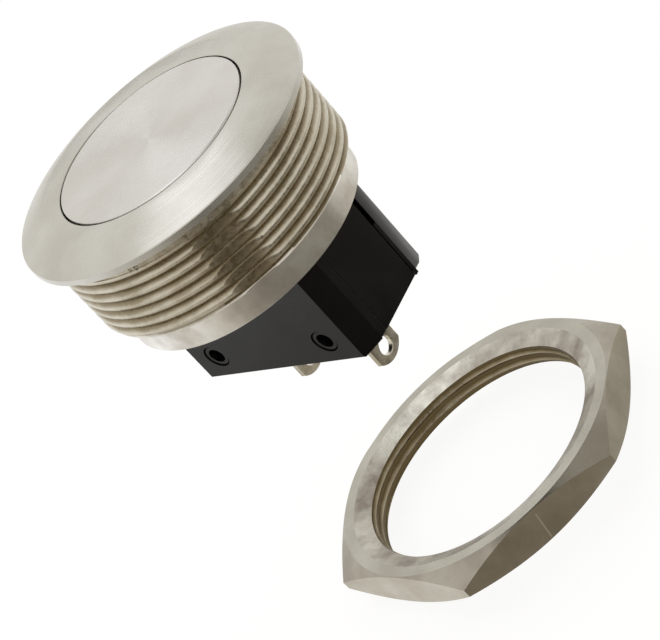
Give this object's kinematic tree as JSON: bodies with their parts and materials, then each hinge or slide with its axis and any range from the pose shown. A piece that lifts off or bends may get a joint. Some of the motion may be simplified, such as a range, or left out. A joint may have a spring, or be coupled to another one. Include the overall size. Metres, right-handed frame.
{
  "type": "pushbutton switch",
  "caption": "Panel-mount round metal pushbutton switch with a threaded barrel, black rear housing, two solder lugs and a loose hexagon nut.",
  "frame": {"origin": "centre of the flange's underside, where the bezel seats on the panel", "axes": "+Z out through the button's face, X across the two lugs, -Y out of the housing cheek that shows the two stud ends"},
  "size_m": [0.0394, 0.0395, 0.0542],
  "materials": {
    "turned_stainless": "fine turned stainless steel",
    "button_stainless": "face-turned stainless steel",
    "nickel_plated_brass": "nickel plated, as machined",
    "black_nylon": "moulded, semi-matt",
    "white_acetal": "moulded",
    "nitrile_rubber": "moulded",
    "spring_steel": "drawn wire and strip",
    "tinned_brass": "bright tinned",
    "contact_silver": "coined",
    "bronze_strip": "rolled"
  },
  "bodies": {
    "barrel": {"bezel_barrel": "turned_stainless", "guide_bush": "white_acetal", "stem_seal": "nitrile_rubber", "housing_carrier": "black_nylon", "near_cheek": "black_nylon", "housing_ring": "spring_steel", "block_case": "black_nylon", "block_cover": "black_nylon", "open_terminal": "tinned_brass", "common_terminal": "tinned_brass", "open_contact": "contact_silver", "common_contact": "contact_silver", "return_spring": "spring_steel", "contact_spring": "spring_steel", "mounting_nut": "nickel_plated_brass"},
    "button": {"button_cap": "button_stainless", "button_stem": "turned_stainless", "stem_clip": "spring_steel"},
    "contact_carriage": {"contact_pusher": "black_nylon", "contact_bridge": "bronze_strip", "bridge_contacts": "contact_silver"}
  },
  "joints": [
    {"name": "button_press", "type": "slide", "parent": "barrel", "child": "button", "axis": [0, 0, -1], "range_m": [0, 0.001], "stiffness_N_per_m": 1500, "springref_m": -0.001, "deforming": ["return_spring"]},
    {"name": "carriage_press", "type": "slide", "parent": "barrel", "child": "contact_carriage", "axis": [0, 0, -1], "range_m": [0, 0.001], "deforming": ["contact_spring"]}
  ],
  "couplings": [
    {"joint": "carriage_press", "follows": "button_press", "ratio": 1}
  ]
}
